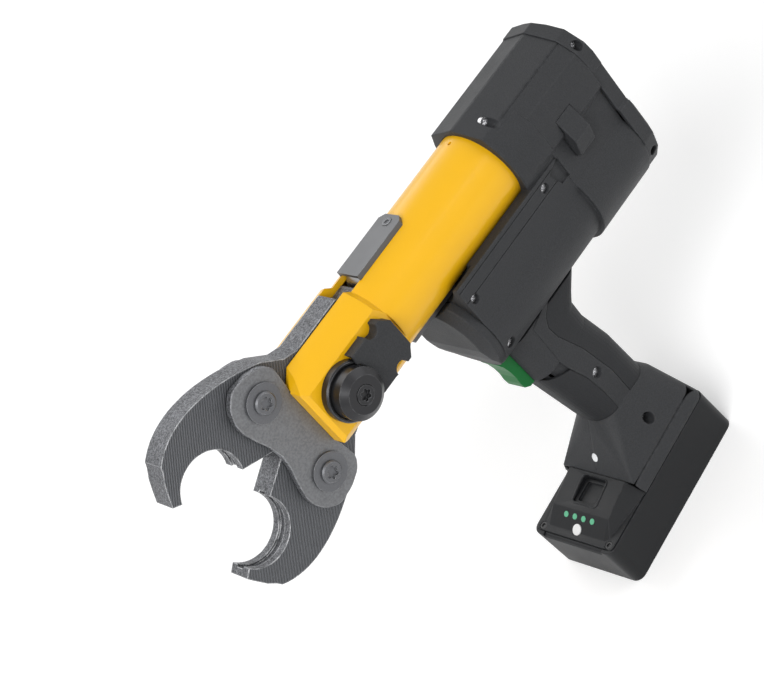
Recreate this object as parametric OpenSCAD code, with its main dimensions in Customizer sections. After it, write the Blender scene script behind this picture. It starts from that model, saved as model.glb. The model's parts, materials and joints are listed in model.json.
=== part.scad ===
// Battery hydraulic press tool with pressing tongs. Millimetres.
// The tool frame has X along the head tube, zero at the front face of the housing.
// The last step turns the tool frame so that the battery stands square on the floor.

/* [Stance] */
// Tilt of the tube against the battery, degrees
tube_tilt = 5.6; // [0:0.2:8]
// Battery centre along the tube, from the housing front face
foot_x = -54; // [-54:0.5:-53]
// Height of the tube axis over the battery's bottom, square to the tube
axis_height = 262.5; // [262:0.5:266]

/* [Head tube and fork] */
// Outer radius of the head tube
tube_r = 29; // [28.8:0.1:29]
// Bore of the head tube
bore_r = 25; // [24.9:0.1:25.2]
// How far the tube reaches into the housing
tube_back = 9; // [7:0.5:9]
// Where the tube ends and its shoulder starts
tube_front = -121; // [-122:0.5:-120]
// Length of the 45 degree shoulder
shoulder_len = 4; // [3:0.5:4.5]
// Outer radius of the fork
fork_r = 33; // [32.8:0.1:33]
// Front plane of the fork
fork_front = -192.5; // [-193:0.5:-192]
// Half distance of the side flats of the fork
flat_y = 27; // [27:0.1:27.4]
// Rear end of the side flats
flat_back = -120.5; // [-121:0.5:-119]
// Corner cut of the fork: length along the tube
corner_x = 12.4; // [10:0.2:13]
// Corner cut of the fork: height
corner_z = 11; // [9:0.2:11.5]
// Edge bevel at the front of the flats
cheek_bevel = 3; // [1:0.5:3.5]
// Half width of the long slots for the jaw tails
slot_y = 9.4; // [9.3:0.1:9.6]
// Rear end of the slots
slot_back = -76; // [-77:0.5:-75]
// Half width of the pocket for the tongs stems
pocket_y = 14.4; // [14.4:0.1:14.8]
// Half height of the pocket
pocket_z = 23; // [22:0.5:23]
// Radius of the narrow bore behind the pocket
throat_r = 21.5; // [21.4:0.1:22]
// Where the wide bore steps down to the throat
throat_x = -127; // [-128:0.5:-126.5]
// Distance of the sight hole from the housing
sight_x = -6; // [-9:0.5:-5]
// Radius of the sight hole
sight_r = 1.3; // [0.8:0.1:1.6]

/* [Cover strips] */
// Rear end of the cover strips
strip_back = -65; // [-66:0.5:-64]
// Front end of the cover strips
strip_front = -112; // [-113:0.5:-110]
// Half width of the cover strips
strip_y = 10.2; // [10:0.1:10.4]
// Height of the strips' outer face over the axis
strip_z = 31; // [30.8:0.1:31.2]
// Underside of the strip over the slot
strip_under = 28.8; // [28.6:0.1:28.9]
// Place of the strip screw
strip_screw_x = -70.7; // [-71.5:0.1:-70]
// Head radius of the strip screw
strip_screw_r = 3.2; // [2.6:0.1:3.4]

/* [Retaining bolt] */
// Bolt axis along the tube
bolt_x = -169.9; // [-170.1:0.1:-169.7]
// Radius of the bolt shank
bolt_r = 7; // [6.5:0.1:7]
// Far end of the shank
bolt_end = 29; // [27.5:0.5:29.5]
// Radius of the bolt cap
cap_r = 16; // [15.5:0.1:16]
// Where the cap's cone starts
cap_cone = 41; // [40:0.5:42]
// Height of the cap's cone
cap_rim_h = 3.6; // [3:0.1:4]
// Radius of the cap's flat face
cap_face_r = 11.7; // [11:0.1:12.4]
// Outer radius of the collar
collar_r = 18.6; // [18:0.1:18.8]
// Inner radius of the collar
collar_in_r = 16.6; // [16.4:0.1:16.8]
// Height of the collar over the flat
collar_h = 6; // [5:0.2:6.2]
// Radius of the six lobe screw head in the cap
cap_screw_r = 6; // [5:0.1:6.4]

/* [Bolt catch] */
// Thickness of the catch
catch_t = 8; // [7.5:0.1:8.4]
// Half width over the rear wings
catch_wing = 17; // [16:0.5:17]
// Half width of the waist
catch_waist = 12; // [10:0.5:13]
// Half width of the body
catch_body = 16.6; // [15:0.2:17]
// Rear end of the catch
catch_back = -124.5; // [-125:0.5:-124]
// Front end of the key slot in the cheek
key_front = -146; // [-147:0.5:-145]
// Length of the key under the catch
key_l = 10; // [8:0.5:12]
// Travel of the catch
catch_travel = 3.5; // [2.5:0.1:3.5]
// Depth of the key slot in the cheek
key_deep = 3; // [2:0.1:3]
// Half width of the key slot
key_z = 4; // [3:0.5:5]

/* [Tongs] */
// Distance of the jaw pivots in front of the housing
pivot_x = -207.8; // [-208:0.1:-207.6]
// Half distance of the two pivots
pivot_z = 32.65; // [32.6:0.01:32.7]
// Pivot pin radius
pin_r = 6.5; // [6:0.1:7]
// Radius of the pivot washers
washer_r = 12.2; // [11.5:0.1:12.4]
// Outer plane of the washers
washer_out = 15.6; // [15.2:0.1:15.8]
// Radius of the pivot screw heads
screw_r = 7.1; // [6.6:0.1:7.3]
// Outer plane of the pivot screw heads
screw_out = 17.6; // [17:0.1:18]
// Inner face of the link plates
plate_in = 9; // [9:0.05:9.1]
// Outer face of the link plates
plate_out = 14; // [13.8:0.1:14]
// Half thickness of the jaws
jaw_half = 8.7; // [8.5:0.05:8.7]
// Angle from open to closed, degrees
jaw_open = 25.2; // [25.1:0.1:25.3]
// Press contour radius
contour_r = 21.5; // [20.5:0.5:21.5]
// Width of the relief inside the press contour
relief_w = 6; // [3:0.5:8]
// Depth of the relief inside the press contour
relief_deep = 1.6; // [0.8:0.2:2]

/* [Ram] */
// Roller axis at rest
roller_x = -101; // [-101.2:0.1:-100.8]
// Stroke of the ram
stroke = 40; // [40:0.1:40.2]
// Radius of the press rollers
roller_r = 14; // [13.9:0.05:14]
// Half distance of the roller axes
roller_z = 14.2; // [14.2:0.05:14.25]
// Half width of the rollers
roller_y = 8.4; // [8.2:0.05:8.5]
// Roller pin radius
roller_pin_r = 3.5; // [3:0.1:3.5]
// Half length of the roller pins
roller_pin_y = 11.4; // [11:0.1:11.5]
// Radius of the piston rod
rod_r = 9; // [8:0.1:9.5]
// Radius of the piston
piston_r = 19.9; // [19.5:0.1:19.9]
// Outer radius of the press cylinder
cylinder_r = 26.5; // [26:0.1:26.5]

/* [Housing] */
// Wall thickness of the moulded shells
wall = 2.8; // [2.4:0.1:3]
// Height of the roof ridge
ridge_z = 33.9; // [33.5:0.1:34]
// Half width of the roof
roof_y = 24.5; // [24:0.5:25]
// Height of the roof edges
roof_z = 27.5; // [27:0.1:27.8]
// Half width of the collar at the front
front_y = 33; // [33:0.1:33.4]
// Half width of the rear block
rear_y = 37.6; // [37:0.1:38]
// Half width at the sunk side panels
panel_y = 33.6; // [33.4:0.1:34]
// Upper edge of the sunk side panels
panel_top_z = -13.6; // [-14:0.2:-12]
// Front face of the lower rear block
block_x = 27; // [26:0.5:28]
// Seam of the rear cover
cover_x = 81; // [80.5:0.5:81.5]
// Rear face of the housing
back_x = 91; // [90.5:0.5:92]
// Rear face of the lower bulge of the cover
bulge_x = 94; // [93.5:0.5:95]
// Half width at the recessed waist of the cover
waist_y = 36; // [35.5:0.1:36.4]
// Top and bottom of the waist
waist_top = 0.5; // [0:0.5:3]
waist_bottom = -33; // [-35:0.5:-32]
// Radius of the motor housing
motor_r = 34.5; // [34:0.1:34.5]
// Motor axis below the tube axis
motor_z = -58; // [-58:0.5:-57.5]
// Front end of the motor housing
motor_front = -80; // [-81:0.5:-79]
// Front end of the motor cap
cap_front = -91; // [-91.5:0.5:-90]
// Radius of the lower lobe of the rear block
lobe_r = 37.6; // [37:0.1:38]
// Top of the side strips
strip_top = -17; // [-18:0.5:-16]
// Half width over the side strips
strip_side = 33; // [32.6:0.1:33.4]
// Radius step between the motor housing and its cap
cap_step = 0.6; // [0.4:0.1:1]
// Shoulder of the motor cap
cap_shoulder = -86; // [-87:0.5:-85]
// Radius of the flat front of the cap
cap_face = 26.5; // [24:0.5:28]
// Chamfer of the rear cover
cover_chamfer = 2; // [1:0.2:3]
// Height of the cover over the roof
cover_lip = 0.8; // [0.4:0.1:1.2]
// Size of the fine lines along the housing
groove_r = 0.6; // [0.4:0.1:0.8]
// Shank radius of the long housing screws
shank_r = 2; // [1.6:0.1:2.2]
// Head radius of the long housing screws
head_r = 3.6; // [3.2:0.1:3.8]
// Shank radius of the short housing screws
thin_shank_r = 1.5; // [1.2:0.1:1.6]
// Head radius of the short housing screws
thin_head_r = 3; // [2.6:0.1:3.2]
// Height of the screw heads
head_h = 2.6; // [2:0.1:3]
// Wall round the screws
boss_wall = 1.9; // [1.5:0.1:2.2]
// Clearance radius round the turning head
saddle_r = 33.6; // [33.4:0.1:34]
// Clearance radius round the plain tube
near_saddle_r = 29.8; // [29.5:0.1:30.2]

/* [Grip and foot] */
// Half width of the grip
grip_y = 17.5; // [16.5:0.5:18]
// Skin thickness of the soft pads
pad_t = 1.8; // [1.4:0.1:2.2]
// Half width of the foot
foot_y = 38; // [37.5:0.1:38]
// Front end of the foot, from the battery centre
foot_front = -14.6; // [-15:0.1:-14]
// Lower edge of the foot over the battery's bottom
foot_edge = 36; // [36:0.5:37]

/* [Trigger and buttons] */
// Half width of the trigger
trigger_y = 8; // [7:0.2:8.4]
// Front end of the reset button
reset_x = 40; // [38:0.5:42]
// Length of the reset button
reset_l = 15; // [13:0.5:16]
// Upper edge of the reset button
reset_top = 1; // [0:0.5:2]
// Lower edge of the reset button
reset_low = -28.7; // [-30:0.1:-28]
// Outer edge of the reset button
reset_y = 42.6; // [41:0.1:43]

/* [Battery] */
// Width of the battery
battery_w = 76; // [75:0.5:76]
// Height of the side groove
groove_z = 35.3; // [35:0.1:35.3]
// Corner radius of the battery in plan
battery_corner = 7; // [5:0.5:9]
// Cell radius
cell_r = 9.25; // [9:0.05:9.3]
// Cell length
cell_l = 65; // [64:0.5:66]
// Number of cells
cell_count = 6; // [5:1:6]
// Free length inside the battery past the cells
end_room = 4.4; // [4:0.1:4.8]
// Radius of the charge lamps
lamp_r = 2; // [1.5:0.1:2.2]
// Distance of neighbouring charge lamps
lamp_gap = 8.3; // [7:0.1:8.6]

/* [Output] */
// Sub-part to build

/* [Hidden] */
$fn = 96;
// Polygon count of small round details
small_fn = 48;
// Polygon count inside hulls
hull_fn = 32;
// Running clearance between a pin and its bore
fit = 0.08;
// Gap between solids of different bodies that pass each other
pass = 0.3;
// Gap under a piece that slides on a flat
seat_gap = 0.05;
// Overlap that makes cuts run through a face
thru = 1;
// Depth of six lobe sockets
socket_deep = 2.4;
// Depth of the sockets in the housing screws
head_socket = 1.6;
// Thickness of the slices that hulls run between
slice_h = 0.5;
// Lower edges of the fine lines along the side strips
strip_lines = [-20.2, -28.8];
// Corner radius of the grip
grip_corner = 14;
// Outer face of the cap on the retaining bolt
cap_out = cap_cone + cap_rim_h;
// How far the bolt and its screw meet inside the cap
bolt_sunk = 4;
deck = battery_w / 2;
// Battery centre in plan, from the middle of the foot
plan_x = 1;
// Distance of neighbouring cells
cell_pitch = cell_r * 2 + 1;
battery_l = cell_count * cell_pitch + wall * 2 + end_room;
battery_front = plan_x - battery_l / 2;
battery_back = plan_x + battery_l / 2;
// Rear end of the foot, from the battery centre
foot_back = battery_back - 0.5;
// Bottom of the grip over the foot, and the middle of its lower half
grip_low = groove_z - axis_height + 37.2;
grip_top_z = -127;
grip_mid = grip_top_z + (grip_low - grip_top_z) * 0.365;

// Rod along X from x0 to x1
module rod_x(x0, x1, r) {
    translate([min(x0, x1), 0, 0]) rotate([0, 90, 0]) cylinder(h = abs(x1 - x0), r = r);
}

// Cone along X with radius ra at x0 and rb at x1, x1 behind x0
module cone_x(x0, x1, ra, rb) {
    translate([x0, 0, 0]) rotate([0, 90, 0]) cylinder(h = x1 - x0, r1 = ra, r2 = rb);
}

// Rod along Y from y0 to y1
module rod_y(y0, y1, r) {
    translate([0, max(y0, y1), 0]) rotate([90, 0, 0]) cylinder(h = abs(y1 - y0), r = r);
}

// Cone along Y with radius ra at y0 and rb at y1, y1 over y0
module cone_y(y0, y1, ra, rb) {
    translate([0, y1, 0]) rotate([90, 0, 0]) cylinder(h = y1 - y0, r1 = rb, r2 = ra);
}

// Flat shape in X and Z, drawn out along Y
module side_plate(y0, y1) {
    translate([0, y1, 0]) rotate([90, 0, 0]) linear_extrude(height = y1 - y0) children();
}

// Flat shape in Y and Z, drawn out along X
module run_x(x0, x1) {
    translate([x0, 0, 0]) rotate([90, 0, 90]) linear_extrude(height = x1 - x0) children();
}

// Box between two corners
module block(a, b) {
    translate(a) cube(b - a);
}

module mirrored_y() {
    children();
    mirror([0, 1, 0]) children();
}

module mirrored_z() {
    children();
    mirror([0, 0, 1]) children();
}

// Six lobe socket as a star of round notches
module lobe_socket(r) {
    circle(r * 0.62, $fn = small_fn);
    for (a = [0 : 60 : 300]) rotate(a) translate([r * 0.62, 0]) circle(r * 0.24, $fn = hull_fn);
}

// Battery frame turned and moved into the tool frame
module in_battery_frame() {
    translate([foot_x, 0, -axis_height]) rotate([0, -tube_tilt, 0]) children();
}

// Tool frame turned and moved onto the floor
module stance() {
    rotate([0, tube_tilt, 0]) translate([-foot_x, 0, axis_height]) children();
}

function arc(c, r, a0, a1, n) = [for (i = [0 : n]) let (a = a0 + (a1 - a0) * i / n) c + r * [cos(a), sin(a)]];
function turn(p, c, a) = c + [
    (p[0] - c[0]) * cos(a) - (p[1] - c[1]) * sin(a),
    (p[0] - c[0]) * sin(a) + (p[1] - c[1]) * cos(a)
];

// Head tube and fork

module head_fork() {
    stance() color("#fac226") difference() {
        union() {
            rod_x(tube_front, tube_back, tube_r);
            cone_x(tube_front - shoulder_len, tube_front, fork_r, tube_r);
            rod_x(fork_front, tube_front - shoulder_len, fork_r);
        }
        rod_x(throat_x, tube_back + thru, bore_r);
        rod_x(fork_front + corner_x, throat_x + thru, throat_r);
        block([fork_front - thru, -pocket_y, -pocket_z], [bolt_x + cap_r, pocket_y, pocket_z]);
        block([fork_front - thru, -slot_y, -fork_r - thru], [slot_back, slot_y, fork_r + thru]);
        mirrored_y() block([fork_front - thru, flat_y, -fork_r], [flat_back, fork_r + thru, fork_r]);
        mirrored_z() side_plate(-fork_r, fork_r) polygon([
            [fork_front - thru, fork_r - corner_z - thru * corner_z / corner_x],
            [fork_front + corner_x + thru, fork_r + thru * corner_z / corner_x],
            [fork_front - thru, fork_r + thru * 2]
        ]);
        mirrored_y() linear_extrude(height = fork_r * 2, center = true) polygon([
            [fork_front - thru, flat_y - cheek_bevel - thru],
            [fork_front + cheek_bevel + thru, flat_y + thru],
            [fork_front - thru, flat_y + thru]
        ]);
        translate([bolt_x, 0, 0]) rod_y(-fork_r, fork_r, bolt_r + fit);
        block([key_front, -flat_y - thru, -key_z],
            [key_front + key_l + catch_travel + thru, -flat_y + key_deep, key_z]);
        translate([sight_x, 0, tube_r - 1.4]) cylinder(h = 3, r = sight_r, $fn = small_fn);
        mirrored_z() translate([strip_screw_x, 0, bore_r - thru])
            cylinder(h = tube_r, r = 1.7, $fn = small_fn);
    }
}

module cover_strips() {
    stance() color("#969698") mirrored_z() difference() {
        translate([0, 0, bore_r]) linear_extrude(height = strip_z - bore_r) difference() {
            translate([strip_front, -strip_y]) square([strip_back - strip_front, strip_y * 2]);
            for (y = [-strip_y, strip_y]) translate([strip_back, y]) rotate(45)
                square(strip_y / 2, center = true);
        }
        rod_x(strip_front - thru, strip_back + thru, tube_r);
        block([strip_front - thru, -slot_y, 0], [slot_back, slot_y, strip_under]);
        translate([strip_screw_x, 0, 0]) cylinder(h = strip_z + thru, r = 1.7, $fn = small_fn);
        translate([strip_screw_x, 0, strip_z - 0.9])
            cylinder(h = 2, r = strip_screw_r + 0.15, $fn = small_fn);
    }
}

module strip_screws() {
    stance() color("#55565a") mirrored_z() translate([strip_screw_x, 0, 0]) difference() {
        union() {
            translate([0, 0, strip_z - 0.9]) cylinder(h = 1.3, r = strip_screw_r, $fn = small_fn);
            translate([0, 0, bore_r + 0.4]) cylinder(h = strip_z - bore_r - 1, r = 1.65, $fn = small_fn);
        }
        translate([0, 0, strip_z - 0.4]) linear_extrude(height = 2) lobe_socket(2.2);
    }
}

module bolt_collars() {
    stance() color("#1c1c1e") translate([bolt_x, 0, 0]) mirrored_y() difference() {
        union() {
            rod_y(flat_y, flat_y + collar_h - 1, collar_r);
            cone_y(flat_y + collar_h - 1, flat_y + collar_h, collar_r, collar_r - 0.8);
        }
        rod_y(flat_y - thru, flat_y + collar_h + thru, collar_in_r);
    }
}

// Tongs

// Outline of a link plate with its stem, without holes
plate_half = [
    [-157, 0], [-157, 11], [-161, 16], [-170, 18.6], [-180, 19.4], [-191.6, 21.8], [-190.4, 27.6], [-189, 42],
    [-194, 48.6], [-204, 52.8], [-217, 53.6], [-225, 47], [-229, 38], [-229, 30], [-226.6, 20], [-223.4, 10],
    [-222, 0]
];

module plate_outline() {
    lower_half = [for (i = [len(plate_half) - 2 : -1 : 1]) [plate_half[i][0], -plate_half[i][1]]];
    polygon(concat(plate_half, lower_half));
}

module link_plate() {
    difference() {
        side_plate(plate_in, plate_out) plate_outline();
        mirrored_z() translate([pivot_x, 0, pivot_z]) rod_y(plate_in - thru, plate_out + thru, pin_r + fit);
        translate([bolt_x, 0, 0]) rod_y(plate_in - thru, plate_out + thru, bolt_r + fit);
    }
}

module link_plate_near() {
    stance() color("#6e6f72") mirror([0, 1, 0]) link_plate();
}

module link_plate_far() {
    stance() color("#6e6f72") link_plate();
}

module pivot_pins() {
    stance() color("#8a8b8d") mirrored_z() translate([pivot_x, 0, pivot_z])
        rod_y(-plate_out, plate_out, pin_r);
}

module pivot_washers() {
    stance() color("#58595b") mirrored_z() mirrored_y() translate([pivot_x, 0, pivot_z]) difference() {
        rod_y(plate_out, washer_out, washer_r);
        rod_y(plate_out - thru, washer_out + thru, 4.2);
    }
}

module pivot_screws() {
    stance() color("#48494b") mirrored_z() mirrored_y() translate([pivot_x, 0, pivot_z]) difference() {
        union() {
            rod_y(washer_out, screw_out - 0.8, screw_r);
            cone_y(screw_out - 0.8, screw_out, screw_r, screw_r - 0.9);
            rod_y(plate_out, washer_out, 4);
        }
        side_plate(screw_out - socket_deep + 1, screw_out + thru) lobe_socket(5);
    }
}

// Press contour centre of the upper jaw at rest
jaw_pivot = [pivot_x, pivot_z];
closed_centre = [pivot_x - 44.5, 0];
open_centre = turn(closed_centre, jaw_pivot, -jaw_open);

// Roller centre in the jaw's own frame at a part s of the stroke
function roller_path(s) = turn([roller_x - stroke * s, roller_z], jaw_pivot, -jaw_open * s);
function roller_way(s) = let (d = roller_path(s + 0.01) - roller_path(s - 0.01)) d / norm(d);
function cam_point(s) = let (d = roller_way(s)) roller_path(s) + (roller_r + fit * 2) * [d[1], -d[0]];
cam_steps = 12;
bolt_steps = 12;
cam_curve = [for (i = [-1 : cam_steps + 1]) cam_point(i / cam_steps)];
// The two jaws meet here with half this gap on each side of the axis
jaw_gap = 0.3;
hinge_arc_r = pivot_z - jaw_gap;
mouth_z = 0.15;
mouth_back = turn([closed_centre[0] + contour_r, mouth_z], jaw_pivot, -jaw_open);
mouth_front = turn([closed_centre[0] - contour_r, mouth_z], jaw_pivot, -jaw_open);
tip_points = [for (p = [[-281.5, mouth_z], [-287.4, 6.4], [-288, 13]]) turn(p, jaw_pivot, -jaw_open)];
contour_a0 = atan2(mouth_z, contour_r);
jaw_back_pts = [[-116, 24], [-126.5, 24], [-131, 32.6], [-170, 32.6], [-179, 36], [-190.6, 47.2]];
// Point at t on a smooth curve with four guide points
function curve_point(p, t) = p[0] * pow(1 - t, 3) + p[1] * 3 * t * pow(1 - t, 2)
    + p[2] * 3 * t * t * (1 - t) + p[3] * pow(t, 3);
crown_guide = [jaw_back_pts[5], [-212, 60.5], [-252, 77.5], [-278, 54.6]];
crown_steps = 24;
jaw_crown = [for (i = [1 : crown_steps]) curve_point(crown_guide, i / crown_steps)];
cam_used = [for (p = cam_curve) if (p[1] > jaw_gap && p[0] < -115.6) p];

function jaw_outline(r) = concat(
    jaw_back_pts, jaw_crown, [for (i = [2 : -1 : 0]) tip_points[i]],
    arc(open_centre, r, 180 - contour_a0 - jaw_open, contour_a0 - jaw_open, 32),
    arc(jaw_pivot, hinge_arc_r, -90 - jaw_open, -90, 8),
    [for (i = [len(cam_used) - 1 : -1 : 0]) cam_used[i]]
);

module jaw() {
    difference() {
        union() {
            side_plate(-jaw_half, -relief_w / 2) polygon(jaw_outline(contour_r));
            side_plate(-relief_w / 2, relief_w / 2) polygon(jaw_outline(contour_r + relief_deep));
            side_plate(relief_w / 2, jaw_half) polygon(jaw_outline(contour_r));
        }
        translate([pivot_x, 0, pivot_z]) rod_y(-jaw_half - thru, jaw_half + thru, pin_r + fit);
        for (i = [0 : bolt_steps]) let (c = turn([bolt_x, 0], jaw_pivot, -jaw_open * i / bolt_steps))
            translate([c[0], 0, c[1]]) rod_y(-jaw_half - thru, jaw_half + thru, bolt_r + pass * 2);
    }
}

module upper_jaw() {
    stance() color("#7c7d80") jaw();
}

module lower_jaw() {
    stance() color("#7c7d80") mirror([0, 0, 1]) jaw();
}

// Retaining bolt and catch

module retaining_bolt() {
    stance() color("#9a9b9d") translate([bolt_x, 0, 0]) {
        rod_y(-cap_cone + bolt_sunk, bolt_end - 2, bolt_r);
        cone_y(bolt_end - 2, bolt_end, bolt_r, bolt_r - 2);
    }
}

module bolt_cap() {
    stance() color("#222224") translate([bolt_x, 0, 0]) difference() {
        union() {
            rod_y(-cap_cone, -flat_y - pass, cap_r);
            cone_y(-cap_out, -cap_cone, cap_face_r, cap_r);
        }
        rod_y(-cap_cone + bolt_sunk, 0, bolt_r);
        rod_y(-cap_out - thru, -cap_out + 2.6, cap_screw_r + 0.4);
        rod_y(-cap_out, -cap_cone + bolt_sunk + thru, 3.1);
    }
}

module cap_screw() {
    stance() color("#2c2c2e") translate([bolt_x, 0, 0]) difference() {
        union() {
            rod_y(-cap_out - 0.3, -cap_out + 2.6, cap_screw_r);
            rod_y(-cap_out + 2.6, -cap_cone + bolt_sunk, 3);
        }
        side_plate(-cap_out - thru, -cap_out - 0.3 + socket_deep) lobe_socket(4.6);
    }
}

nose_r = cap_r + pass;
// Angle up to which the nose of the catch wraps the cap
nose_angle = 42;
// Front shoulder of the catch, from its rear end
catch_shoulder = 32.5;
// Middle of the finger scallops, from the rear end of the catch
scallop_at = 13.7;
scallop_x = catch_back - scallop_at;
scallop_r = catch_wing - catch_waist;

// Upper edge of the catch from its nose to its rear end
catch_edge = concat(
    [[catch_back - catch_shoulder, catch_body], [scallop_x - scallop_r - 1.3, catch_body]],
    arc([scallop_x, catch_wing], scallop_r, 180, 360, 12),
    [[catch_back - 5.5, catch_wing], [catch_back - 1.5, catch_waist], [catch_back, catch_waist - 1.3]]
);

module catch_outline(r) {
    polygon(concat(
        catch_edge, [for (i = [len(catch_edge) - 1 : -1 : 0]) [catch_edge[i][0], -catch_edge[i][1]]],
        arc([bolt_x, 0], r, -nose_angle, nose_angle, 20)
    ));
}

module bolt_catch() {
    stance() color("#1d1d1f") {
        side_plate(-flat_y - catch_t, -flat_y - collar_h - pass) catch_outline(nose_r);
        side_plate(-flat_y - collar_h - pass, -flat_y - seat_gap) catch_outline(collar_r + pass);
        block([key_front + pass, -flat_y - seat_gap, seat_gap * 4 - key_z],
            [key_front + key_l, -flat_y + key_deep - pass, key_z - seat_gap * 4]);
    }
}

// Ram

module roller_carriage() {
    stance() color("#8d8e90") difference() {
        union() {
            rod_x(roller_x + 17, roller_x + 31, bore_r - 0.1);
            intersection() {
                rod_x(roller_x - 9, roller_x + 18, throat_r - pass);
                mirrored_y() block([roller_x - 10, roller_y + 0.5, -19], [roller_x + 19, 14, 19]);
            }
        }
        mirrored_z() translate([roller_x, 0, roller_z]) rod_y(-20, 20, roller_pin_r);
    }
}

module roller_pins() {
    stance() color("#b0b1b3") mirrored_z() translate([roller_x, 0, roller_z])
        rod_y(-roller_pin_y, roller_pin_y, roller_pin_r);
}

module roller() {
    translate([roller_x, 0, roller_z]) difference() {
        rod_y(-roller_y, roller_y, roller_r);
        rod_y(-roller_y - thru, roller_y + thru, roller_pin_r + fit);
    }
}

module upper_roller() {
    stance() color("#a2a3a5") roller();
}

module lower_roller() {
    stance() color("#a2a3a5") mirror([0, 0, 1]) roller();
}

module press_piston() {
    stance() color("#a8a9ab") {
        rod_x(roller_x + 31.3, 66, rod_r);
        rod_x(64, 76, piston_r);
    }
}

// Housing

// Half of the collar section in Y and Z, from the ridge down
function collar_half(w, grow) = [
    [0, ridge_z - grow * 1.02], [roof_y - grow * 0.72, roof_z - grow], [w - 3.4 - grow, 17.5], [w - grow, 6],
    [w - grow, -6], [w - 1.4 - grow, -14], [w - 3.6 - grow, -22], [w - 8 - grow, -30], [0, -30]
];
function whole(half) = concat(half, [for (i = [len(half) - 2 : -1 : 1]) [-half[i][0], half[i][1]]]);

module motor_section(r) {
    translate([0, motor_z]) circle(r);
    side = strip_side - motor_r + r;
    translate([-side, motor_z]) square([side * 2, strip_top - motor_z]);
}

// Half of the upper section at the rear, where the sunk side panels start
function rear_half(grow) = [
    [0, ridge_z - grow * 1.02], [roof_y - grow * 0.72, roof_z - grow], [rear_y - 3.4 - grow, 17.5],
    [rear_y - grow, 6], [rear_y - grow, -9], [panel_y - grow, panel_top_z], [0, panel_top_z]
];

module block_section(grow) {
    polygon(whole(rear_half(grow)));
    translate([0, motor_z]) circle(lobe_r - grow);
    translate([-panel_y + grow, motor_z]) square([(panel_y - grow) * 2, -motor_z]);
}

// Flat slice of the grip at height z from x0 to x1, set in by tf at the front and tb at the back
module grip_slice(z, x0, x1, tf, tb) {
    for (y = [-1, 1]) {
        translate([x0 + tf + grip_corner, y * (grip_y - tf - grip_corner), z])
            cylinder(h = slice_h, r = grip_corner, $fn = hull_fn);
        translate([x1 - tb - grip_corner, y * (grip_y - tb - grip_corner), z])
            cylinder(h = slice_h, r = grip_corner, $fn = hull_fn);
    }
}

// Height, front end and back end of the grip's slices, from the motor housing down
upper_slices = [
    [-90, -71, 5], [-101, -70.4, -6.2], [-108, -69.9, -12.2], [-118, -69.3, -13.6], [-124, -69, -12.4]
];
lower_slices = [
    [grip_top_z + 2.5, -66.5, -12.3], [grip_top_z, -65.8, -11.7], [grip_mid, -60, -6.6], [grip_low, -52, -2.8]
];

// Upper grip with the fillet under the motor housing, set in at the back by t
module grip_upper(t) {
    for (i = [0 : 2]) hull() {
        for (k = [i, i + 1, i == 2 ? 4 : i + 1])
            grip_slice(upper_slices[k][0], upper_slices[k][1], upper_slices[k][2], 0, t);
    }
}

// Lower grip, set in all round by t
module grip_lower(t) {
    hull() for (s = lower_slices) grip_slice(s[0], s[1], s[2], t, t);
}

module foot_outer() {
    hull() {
        grip_slice(grip_low + 4, -53, -3, 0, 0);
        grip_slice(grip_low - 3, -55, -1, -3, -3);
        in_battery_frame() {
            translate([0, 0, foot_edge]) linear_extrude(height = 2) foot_plan(0);
            translate([0, 0, 46]) linear_extrude(height = 0.4) foot_plan(5);
        }
    }
}

module foot_plan(inset) {
    for (y = [-1, 1]) {
        translate([foot_back - inset - 8, y * (foot_y - inset - 8)]) circle(8, $fn = hull_fn);
        translate([foot_front, y * (foot_y - inset) - (y > 0 ? 2 : 0)]) square([2, 2]);
    }
}

// Side outline of the hollow inside grip and foot
module grip_cavity() {
    side_plate(-grip_y + pad_t + wall, grip_y - pad_t - wall) polygon([
        [-60, -80], [-12, -80], [-17, -118], [-12, grip_mid], [-8, grip_low], [-8, grip_low - 24],
        [-50, grip_low - 24], [-46.5, grip_low + 2], [-54, grip_mid], [-60, grip_top_z]
    ]);
}

module housing_outer() {
    hull() {
        run_x(0, slice_h) polygon(whole(collar_half(front_y, 0)));
        run_x(cover_x - slice_h, cover_x) polygon(whole(rear_half(0)));
    }
    run_x(block_x, cover_x) block_section(0);
    run_x(motor_front, block_x + 1) motor_section(motor_r);
    grip_upper(pad_t);
    grip_lower(pad_t);
    foot_outer();
    // Hard band between the soft pads
    side_plate(-grip_y, grip_y) polygon([
        [-36, -88], [-50, -92], [-50, -126], [-48, -134], [-42.5, grip_mid], [-39.5, grip_low + 22],
        [-38.5, grip_low - 2], [-24.5, grip_low - 2], [-25.5, grip_low + 27], [-32, -133],
        [-40.3, -111], [-41.5, -101], [-38.4, -94.5], [-30, -88]
    ]);
}

module housing_inner() {
    run_x(wall + 6, cover_x + thru) polygon(whole(collar_half(front_y, wall)));
    run_x(block_x + wall, cover_x + thru) block_section(wall);
    run_x(motor_front - thru, block_x + wall + thru) difference() {
        translate([0, motor_z]) circle(motor_r - wall);
        circle(near_saddle_r + wall);
    }
    grip_cavity();
    in_battery_frame() foot_cavity();
}

module foot_cavity() {
    side_plate(-foot_y + wall + 1, foot_y - wall - 1) polygon([
        [foot_front - thru, 30], [foot_back - wall, 30], [foot_back - wall, 45], [foot_front - thru, 45]
    ]);
    block([-2, -22, 44], [foot_back - 16, 22, 51.5]);
    light_place() cylinder(h = 20, r = light_r + fit, $fn = small_fn);
}

// Saddle that lets the head tube and its strips turn
module head_space() {
    rod_x(cap_front - thru * 9, -60, saddle_r);
    rod_x(-60 - thru, 0, near_saddle_r);
    rod_x(-thru, tube_back + pass, tube_r + pass);
}

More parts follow.
